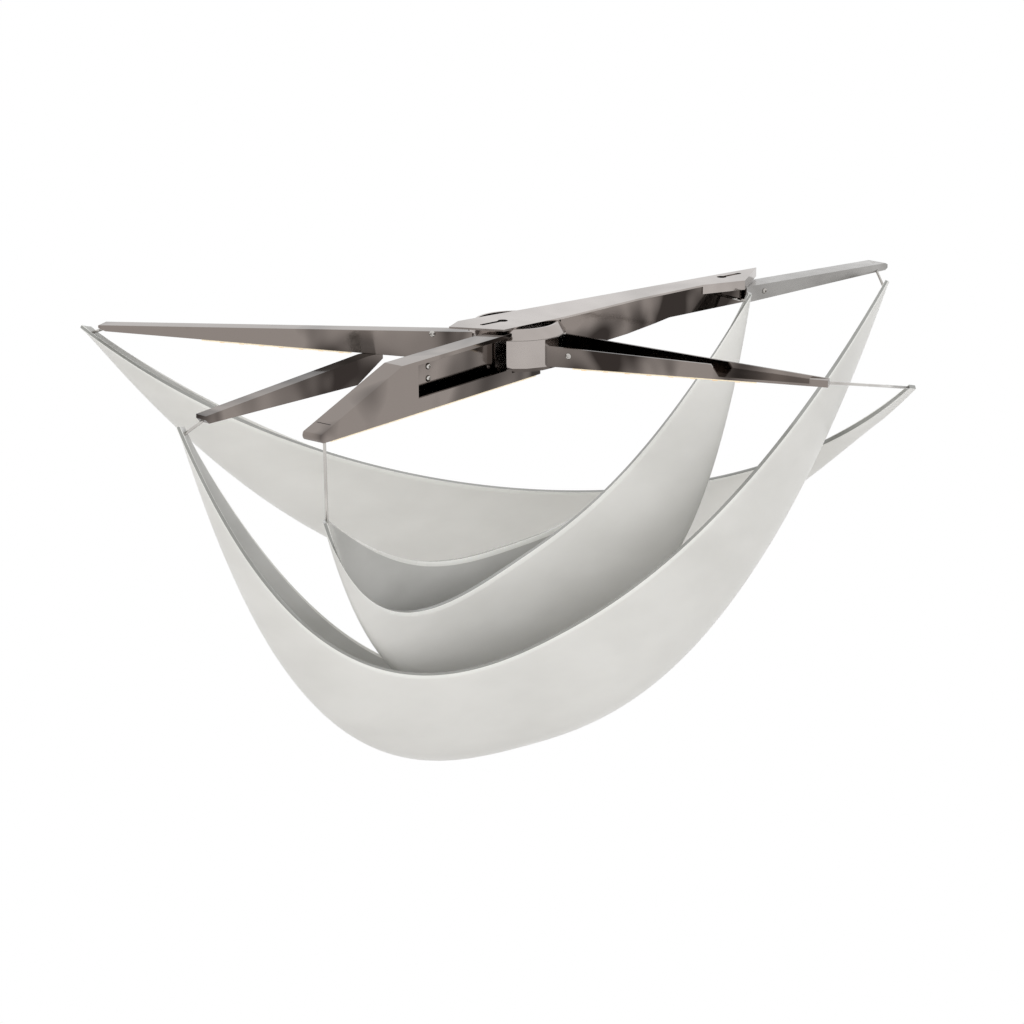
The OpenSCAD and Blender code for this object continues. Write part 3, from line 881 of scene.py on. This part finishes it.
@dataclass(frozen=True)
class Fasteners:
    """Screw heads with a hex socket, and the turned pins that carry the glass, in metres.

    A head's profile is given as shares of its radius and its height, and its last rings line the
    socket. A pin's groove is given as shares of the pin's length.
    """

    screw_r: float = 3.2 * MM
    head_h: float = 1.8 * MM
    head_profile: tuple[tuple[float, float], ...] = (
        (0.98, 0.0), (1.0, 0.12), (0.97, 0.35), (0.86, 0.65), (0.68, 0.88), (0.52, 0.97),
        (0.44, 1.0), (0.40, 0.94), (0.38, 0.3))
    head_sides: int = 36
    socket_from: int = 6
    socket_share: float = 0.9
    cover_ring: float = 34 * MM
    cover_under: float = -44 * MM
    cover_turns: tuple[float, ...] = (75, 165, 345)
    pin_r: float = 1.5 * MM
    pin_sides: int = 28
    pin_end_share: float = 0.85
    pin_inset: float = 0.2 * MM
    pin_chamfer: float = 0.5 * MM
    groove_share: float = 0.92
    groove: tuple[float, float, float, float] = (0.48, 0.49, 0.51, 0.52)

    def six_sides(self, ring: int, angle: float) -> float:
        """Makes the socket's rings six-sided and leaves the others round.

        Args:
            ring: The ring's number in the head's profile.
            angle: The angle round the ring.

        Returns:
            The factor on the radius.
        """
        if ring < self.socket_from:
            return 1.0
        return self.socket_share / math.cos((angle + math.pi / 6) % (math.pi / 3) - math.pi / 6)

    def head(self) -> bmesh.types.BMesh:
        """Makes a domed screw head with a hex socket, its base on the origin and its crown up."""
        profile = [(self.screw_r * r, self.head_h * h) for r, h in self.head_profile]
        return turned(profile, self.head_sides, self.six_sides)

    def pin(self, length: float) -> bmesh.types.BMesh:
        """Makes a pin with chamfered ends and a shallow groove at mid-length.

        Args:
            length: The pin's length.

        Returns:
            The pin, from the origin up.
        """
        r = self.pin_r
        end_r = r * self.pin_end_share
        groove_r = r * self.groove_share
        radii = (r, groove_r, groove_r, r)
        groove = [(radius, length * share) for radius, share in zip(radii, self.groove)]
        profile = [(end_r, self.pin_inset), (r, self.pin_chamfer), *groove,
                   (r, length - self.pin_chamfer), (end_r, length - self.pin_inset)]
        return turned(profile, self.pin_sides)

    def screws(self, tree: RowTree, head: bpy.types.Object, name: str, node: str,
               seats: Sequence[tuple[Vector, Vector]]) -> None:
        """Makes one piece of several screws.

        Args:
            tree: The node group that sets heads on their seats.
            head: The head, with its base on the origin.
            name: The piece's name.
            node: The CAD node that it stands for.
            seats: Each screw's place and the direction that its crown faces.
        """
        places = bpy.data.meshes.new("seats")
        places.from_pydata([place for place, _ in seats], [], [])
        turns = places.attributes.new("turn", "QUATERNION", "POINT")
        for turn, (_, way) in zip(turns.data, seats):
            turn.value = way.to_track_quat("Z", "Y")
        mesh = tree.run(name, {"Head": head}, places)
        mesh.attributes.remove(mesh.attributes["turn"])
        link_piece(bpy.data.objects.new(name, mesh), Slot.SCREWS, node)

    def pins(self) -> None:
        """Makes the pins, along the CAD's own pins."""
        parts = []
        for points in split_solids(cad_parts["glass_pins"].data):
            start, end = pin_ends(points)
            parts.append((self.pin((end - start).length), start, end - start))
        mesh = joined("trough_pins", parts)
        link_piece(mesh_object("trough_pins", mesh, SCREW_METAL), Slot.SCREWS, "glass_pins")

    def cover_seats(self) -> list[tuple[Vector, Vector]]:
        """Gives the seats of the screws in the cover under the drum.

        Returns:
            Each screw's place, and the direction down that its crown faces.
        """
        seats = []
        for turn in self.cover_turns:
            a = math.radians(turn)
            x = self.cover_ring * math.cos(a)
            y = self.cover_ring * math.sin(a)
            seats.append((Vector((x, y, self.cover_under)), Vector((0, 0, -1))))
        return seats

    def build(self) -> None:
        """Makes all screws and pins."""
        tree = seated_heads_tree()
        bm = self.head()
        smooth_by_angle(bm, ROUND_SHARP)
        head = bpy.data.objects.new("screw_head", new_mesh("screw_head", bm))
        for name, node, seats in (
                ("arm_screw_heads", "arm_screws", [seat.place() for seat in ARM_SEATS]),
                ("window_screw_heads", "window_screws", [seat.place() for seat in WINDOW_SEATS]),
                ("cover_screw_heads", "cover_screws", self.cover_seats())):
            self.screws(tree, head, name, node, seats)
        bpy.data.objects.remove(head)
        self.pins()
        log.info("fasteners done")


def seated_heads_tree() -> RowTree:
    """Makes the node group that sets a screw head on each point, turned by the point's own turn.

    Returns:
        The node group.
    """
    g = RowTree("seated_heads", {"Seats": "NodeSocketGeometry", "Head": "NodeSocketObject"})
    head = g.add("GeometryNodeObjectInfo")
    turn = g.add("GeometryNodeInputNamedAttribute", {"Name": "turn"}, data_type="QUATERNION")
    heads = g.add("GeometryNodeInstanceOnPoints")
    g.feed("Seats", heads, "Points")
    g.feed("Head", head, "Object")
    g.link(head, "Geometry", heads, "Instance")
    g.link(turn, "Attribute", heads, "Rotation")
    g.close(heads, SCREW_METAL)
    return g


def split_solids(mesh: bpy.types.Mesh) -> list[np.ndarray]:
    """Splits a mesh into its separate solids.

    Args:
        mesh: A mesh of several closed solids.

    Returns:
        The points of each solid.
    """
    same_point = 1e-7
    bm = bmesh.new()
    bm.from_mesh(mesh)
    bmesh.ops.remove_doubles(bm, verts=bm.verts, dist=same_point)
    found = set()
    solids = []
    for seed in bm.verts:
        if seed in found:
            continue
        found.add(seed)
        solid = [seed]
        for vert in solid:
            for edge in vert.link_edges:
                other = edge.other_vert(vert)
                if other not in found:
                    found.add(other)
                    solid.append(other)
        solids.append(np.array([vert.co[:] for vert in solid]))
    bm.free()
    return solids


def pin_ends(points: np.ndarray) -> tuple[Vector, Vector]:
    """Finds the two ends of a round bar, the higher one first.

    Args:
        points: The bar's points.

    Returns:
        The middles of its two end faces.
    """
    face_within = 0.5 * MM
    middle = points.mean(0)
    _, _, axes = np.linalg.svd(points - middle)
    along = (points - middle) @ axes[0]
    ends = [Vector(points[along > along.max() - face_within].mean(0)),
            Vector(points[along < along.min() + face_within].mean(0))]
    ends.sort(key=lambda end: -end.z)
    return ends[0], ends[1]


@dataclass(frozen=True)
class LightStrip:
    """A light strip under an arm: a board with a row of chips, in millimetres.

    It runs from start to end along the arm, lies across to the left of the arm's axis, and its
    top is up from the arms' underside. A chip is a square body with a flat round lens under it.
    """

    name: str
    node: str
    arm: Arm
    start: float
    end: float
    across: float
    up: float
    pitch: float
    width: float = 9.0
    board_t: float = 1.5
    board_edge: float = 0.3
    chip: float = 5.0
    body_h: float = 0.84
    lens_r: float = 2.0
    lens_flat: float = 0.22

    def board(self) -> None:
        """Makes the board, with its long edges softened."""
        bm = bmesh.new()
        bmesh.ops.create_cube(bm, size=1.0)
        size = Vector((self.end - self.start, self.width, self.board_t)) * MM
        bmesh.ops.scale(bm, vec=size, verts=bm.verts)
        long_edges = [edge for edge in bm.edges
                      if abs((edge.verts[0].co - edge.verts[1].co).x) > size.x / 2]
        bmesh.ops.bevel(bm, geom=long_edges, offset=self.board_edge * MM, segments=2, profile=0.5,
                        affect="EDGES")
        middle = Vector(((self.start + self.end) / 2, self.across, self.up - self.board_t / 2)) * MM
        bmesh.ops.transform(bm, matrix=self.arm.matrix() @ Matrix.Translation(middle), verts=bm.verts)
        smooth_by_angle(bm, ROUND_SHARP)
        link_piece(mesh_object(self.name, new_mesh(self.name, bm), BOARD_PAINTED_GLOW), Slot.BOARD, self.node)

    def chip_count(self) -> int:
        """Counts the chips that the strip holds."""
        first = self.start + self.pitch / 2
        return math.floor((self.end - self.chip - first) / self.pitch) + 1

    def chips(self, tree: RowTree) -> bpy.types.Object:
        """Makes the row of chips, in the arm's own frame and then in place.

        Args:
            tree: The node group of a row of chips.

        Returns:
            The row, not yet linked.
        """
        first = Vector((self.start + self.pitch / 2, self.across, self.up - self.board_t)) * MM
        name = f"{self.name}_chips"
        mesh = tree.run(name, {
            "Count": self.chip_count(),
            "First": first,
            "Pitch": (self.pitch * MM, 0.0, 0.0),
            "Body": (self.chip * MM, self.chip * MM, self.body_h * MM),
            "Under": (0.0, 0.0, -self.body_h / 2 * MM),
            "Lens Radius": self.lens_r * MM,
            "Lens Scale": (1.0, 1.0, self.lens_flat),
        })
        mesh.transform(self.arm.matrix())
        return bpy.data.objects.new(name, mesh)


def chip_row_tree() -> RowTree:
    """Makes the node group that sets chips in a row: a square body with a flat lens under it.

    Returns:
        The node group.
    """
    g = RowTree("chip_row", {
        "Count": "NodeSocketInt",
        "First": "NodeSocketVector",
        "Pitch": "NodeSocketVector",
        "Body": "NodeSocketVector",
        "Under": "NodeSocketVector",
        "Lens Radius": "NodeSocketFloat",
        "Lens Scale": "NodeSocketVector",
    })
    line = g.add("GeometryNodeMeshLine")
    body = g.add("GeometryNodeMeshCube")
    lens = g.add("GeometryNodeMeshUVSphere", {"Segments": 20, "Rings": 10})
    flat = g.add("GeometryNodeTransform")
    both = g.add("GeometryNodeJoinGeometry")
    drop = g.add("GeometryNodeTransform")
    row = g.add("GeometryNodeInstanceOnPoints")
    g.feed("Count", line, "Count")
    g.feed("First", line, "Start Location")
    g.feed("Pitch", line, "Offset")
    g.feed("Body", body, "Size")
    g.feed("Lens Radius", lens, "Radius")
    g.feed("Lens Scale", flat, "Scale")
    g.feed("Under", flat, "Translation")
    g.feed("Under", drop, "Translation")
    g.link(lens, 0, flat, 0)
    g.link(body, 0, both, 0)
    g.link(flat, 0, both, 0)
    g.link(both, 0, drop, 0)
    g.link(line, 0, row, "Points")
    g.link(drop, 0, row, "Instance")
    g.close(row, CHIP_LIT)
    return g


STRIPS = [
    LightStrip("strip_board_left", "strip_left", LEFT_ARM,
               start=165, end=330, across=30.5, up=0.0, pitch=22.0),
    LightStrip("strip_board_right", "strip_right", RIGHT_ARM,
               start=66, end=250, across=-23.0, up=0.0, pitch=22.0),
    LightStrip("strip_board_front", "strip_front", FRONT_ARM,
               start=2, end=306, across=21.8, up=-14.0, pitch=38.0),
]


def build_strips() -> None:
    """Makes the boards and the chips of all light strips.

    The first row of chips stands for the CAD's node of all chips.
    """
    tree = chip_row_tree()
    for i, strip in enumerate(STRIPS):
        strip.board()
        link_piece(strip.chips(tree), Slot.CHIPS, *(["light_chips"] if i == 0 else []))
    log.info("light strips: %d", len(STRIPS))


@dataclass(frozen=True)
class Lamp:
    """A soft square lamp: its place and side in metres, its power in watts and its colour."""

    name: str
    place: Point
    side: float
    power: float
    tint: Point
    aim_at: Point = (0.05, 0.0, -0.25)

    def build(self) -> None:
        """Makes the lamp, looking at the light's middle and kept out of mirror images."""
        data = bpy.data.lights.new(self.name, "AREA")
        data.shape = "SQUARE"
        data.size = self.side
        data.energy = self.power
        data.color = self.tint
        lamp = bpy.data.objects.new(self.name, data)
        lamp.location = self.place
        aim = Vector(self.aim_at) - Vector(self.place)
        lamp.rotation_euler = aim.to_track_quat("-Z", "Y").to_euler()
        lamp.visible_glossy = False
        put_in_scene(lamp)


LAMPS = [
    Lamp("key", place=(-2.2, -0.6, 1.8), side=1.6, power=26.0, tint=(1.0, 0.99, 0.97)),
    Lamp("fill", place=(0.4, -2.8, 0.6), side=2.2, power=12.0, tint=(1.0, 1.0, 1.0)),
    Lamp("back", place=(1.4, 2.4, 1.2), side=1.6, power=14.0, tint=(0.98, 0.99, 1.0)),
]


@dataclass(frozen=True)
class Studio:
    """The white studio: the camera, a sky of soft light, a pale floor far below and the lamps."""

    camera_at: Point = (-1.6682, -1.8989, 0.5901)
    heading: float = 41.2
    pitch: float = 17.412
    lens: float = 91.4
    sensor: float = 36.0
    sees_to: float = 50.0
    white: Colour = (1, 1, 1, 1)
    sky_tint: Colour = (1.0, 0.995, 0.985, 1)
    sky_power: float = 0.72
    floor_z: float = -1.6
    floor_half: float = 9.0
    floor_tint: Colour = (0.80, 0.79, 0.78, 1)
    floor_mottle: Colour = (0.83, 0.82, 0.81, 1)
    mottle_scale: float = 3.0

    def camera(self) -> None:
        """Places the camera at the photograph's viewing angle."""
        data = bpy.data.cameras.new("camera")
        data.lens = self.lens
        data.sensor_width = self.sensor
        data.clip_end = self.sees_to
        cam = bpy.data.objects.new("camera", data)
        cam.location = self.camera_at
        cam.rotation_euler = (math.radians(90 - self.pitch), 0.0, math.radians(-self.heading))
        put_in_scene(cam)
        bpy.context.scene.camera = cam

    @staticmethod
    def white_where_shown(g: NodeGraph, soft: bpy.types.Node, white: bpy.types.Node) -> bpy.types.Node:
        """Shows white to the eye and in metal and glass, and the soft shader to all other rays.

        Args:
            g: The graph that the nodes go into.
            soft: The shader for other rays.
            white: The white shader.

        Returns:
            The mix of the two.
        """
        path = g.add("ShaderNodeLightPath")
        either = g.add("ShaderNodeMath", operation="MAXIMUM")
        each = g.add("ShaderNodeMath", operation="MAXIMUM")
        mix = g.add("ShaderNodeMixShader")
        g.link(path, "Is Camera Ray", either, 0)
        g.link(path, "Is Glossy Ray", either, 1)
        g.link(either, 0, each, 0)
        g.link(path, "Is Transmission Ray", each, 1)
        g.link(each, 0, mix, 0)
        g.link(soft, 0, mix, 1)
        g.link(white, 0, mix, 2)
        return mix

    def sky(self) -> None:
        """Makes the surroundings: white to the eye and in the metal, with a plain soft light."""
        world = bpy.data.worlds.new("studio")
        bpy.context.scene.world = world
        world.use_nodes = True
        g = NodeGraph(world.node_tree)
        soft = g.add("ShaderNodeBackground", {"Color": self.sky_tint, "Strength": self.sky_power})
        white = g.add("ShaderNodeBackground", {"Color": self.white, "Strength": 1.0})
        output = g.add("ShaderNodeOutputWorld")
        g.link(self.white_where_shown(g, soft, white), 0, output, 0)

    def floor(self) -> None:
        """Makes the pale floor, white to the eye."""
        bm = bmesh.new()
        bmesh.ops.create_grid(bm, x_segments=8, y_segments=8, size=self.floor_half)
        material, g, coords = new_material("floor_white")
        share = g.spread(g.noise(coords, self.mottle_scale), 0.0, 1.0)
        tint = g.mix(share, self.floor_tint, self.floor_mottle)
        matt = g.add("ShaderNodeBsdfDiffuse")
        white = g.add("ShaderNodeEmission", {"Color": self.white, "Strength": 1.0})
        g.link(tint, MIX_RESULT, matt, "Color")
        g.surface(self.white_where_shown(g, matt, white))
        mesh = new_mesh("floor", bm)
        mesh.materials.append(material)
        obj = bpy.data.objects.new("floor", mesh)
        obj.location = (0, 0, self.floor_z)
        put_in_scene(obj)

    def build(self) -> None:
        """Sets the camera, the surroundings, the lamps and the plain colours of the picture."""
        self.camera()
        self.sky()
        self.floor()
        for lamp in LAMPS:
            lamp.build()
        bpy.context.scene.view_settings.view_transform = "Standard"
        log.info("studio done")


def main() -> None:
    """Dresses the light and sets the studio."""
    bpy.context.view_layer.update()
    SheetWork().build()
    for trough in (UPPER, MIDDLE, LOWER):
        trough.build()
    Fasteners().build()
    build_strips()
    Studio().build()


if __name__ == "__main__":
    main()
